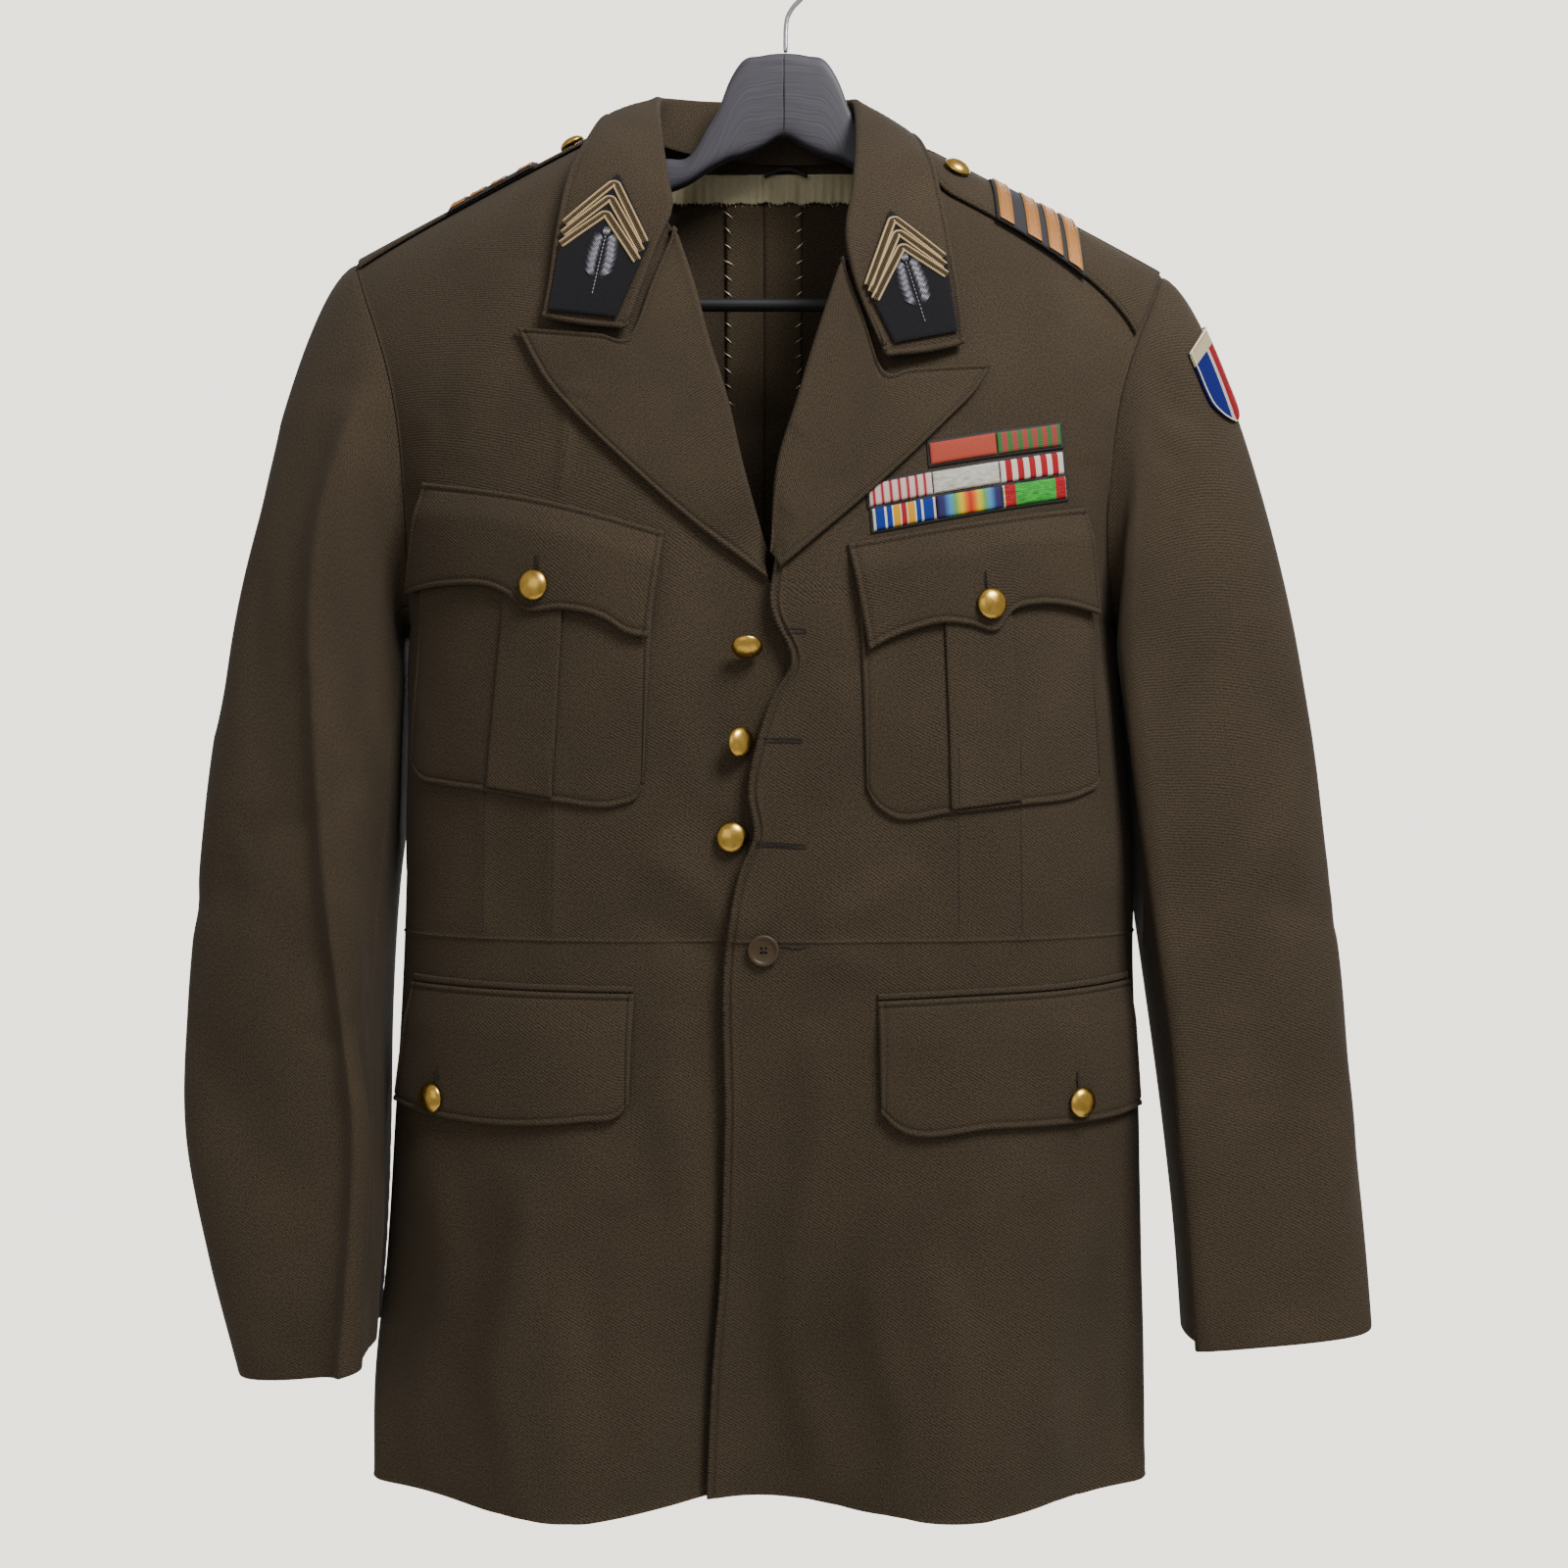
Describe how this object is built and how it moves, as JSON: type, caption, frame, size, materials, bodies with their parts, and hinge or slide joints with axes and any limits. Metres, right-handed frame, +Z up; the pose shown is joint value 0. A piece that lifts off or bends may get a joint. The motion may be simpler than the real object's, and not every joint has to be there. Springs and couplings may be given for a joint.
{
  "type": "police uniform tunic on a wooden hanger",
  "caption": "Four-pocket police tunic with peaked lapels, shoulder straps, collar patches, ribbon bars and gilt buttons, hung open at the neck on a wooden hanger with a wire hook.",
  "frame": {"origin": "inside top of the hanger's hook, where it rests on a rail", "axes": "+Z up, -Y out of the tunic's front, +X to the wearer's left"},
  "size_m": [0.6879, 0.173, 0.9149],
  "materials": {
    "cloth": "dark brown-olive wool twill, slightly napped",
    "slide": "black woven slide with raised gold bars",
    "felt": "black felt with metal braid",
    "ribbon": "woven striped ribbon",
    "shield": "embroidered in blue, white and red",
    "lining": "olive satin",
    "brass": "worn gilt",
    "horn": "polished brown",
    "wood": "charcoal stain",
    "wire": "bright"
  },
  "bodies": {
    "root": {"front_right": "cloth", "front_left": "cloth", "skirt_right": "cloth", "skirt_left": "cloth", "back_right": "cloth", "back_left": "cloth", "sleeve_top_right": "cloth", "sleeve_top_left": "cloth", "sleeve_under_right": "cloth", "sleeve_under_left": "cloth", "collar": "cloth", "lapel_right": "cloth", "lapel_left": "cloth", "breast_pocket_right": "cloth", "breast_pocket_left": "cloth", "box_pleat_right": "cloth", "box_pleat_left": "cloth", "breast_flap_right": "cloth", "breast_flap_left": "cloth", "hip_welt_right": "cloth", "hip_welt_left": "cloth", "hip_flap_right": "cloth", "hip_flap_left": "cloth", "shoulder_strap_right": "cloth", "shoulder_strap_left": "cloth", "rank_slide_right": "slide", "rank_slide_left": "slide", "collar_patch_right": "felt", "collar_patch_left": "felt", "ribbon_1_1": "ribbon", "ribbon_1_2": "ribbon", "ribbon_2_1": "ribbon", "ribbon_2_2": "ribbon", "ribbon_2_3": "ribbon", "ribbon_3_1": "ribbon", "ribbon_3_2": "ribbon", "ribbon_3_3": "ribbon", "sleeve_shield_left": "shield", "neck_lining": "lining", "seam_allowance_right": "cloth", "seam_allowance_left": "cloth", "button_breast_right": "brass", "button_breast_left": "brass", "button_hip_right": "brass", "button_hip_left": "brass", "button_front_1": "brass", "button_front_2": "brass", "button_front_3": "brass", "button_strap_right": "brass", "button_strap_left": "brass", "button_waist": "horn", "hanger_wood": "wood", "hanger_bar": "wood", "hanger_hook": "wire"}
  },
  "joints": []
}
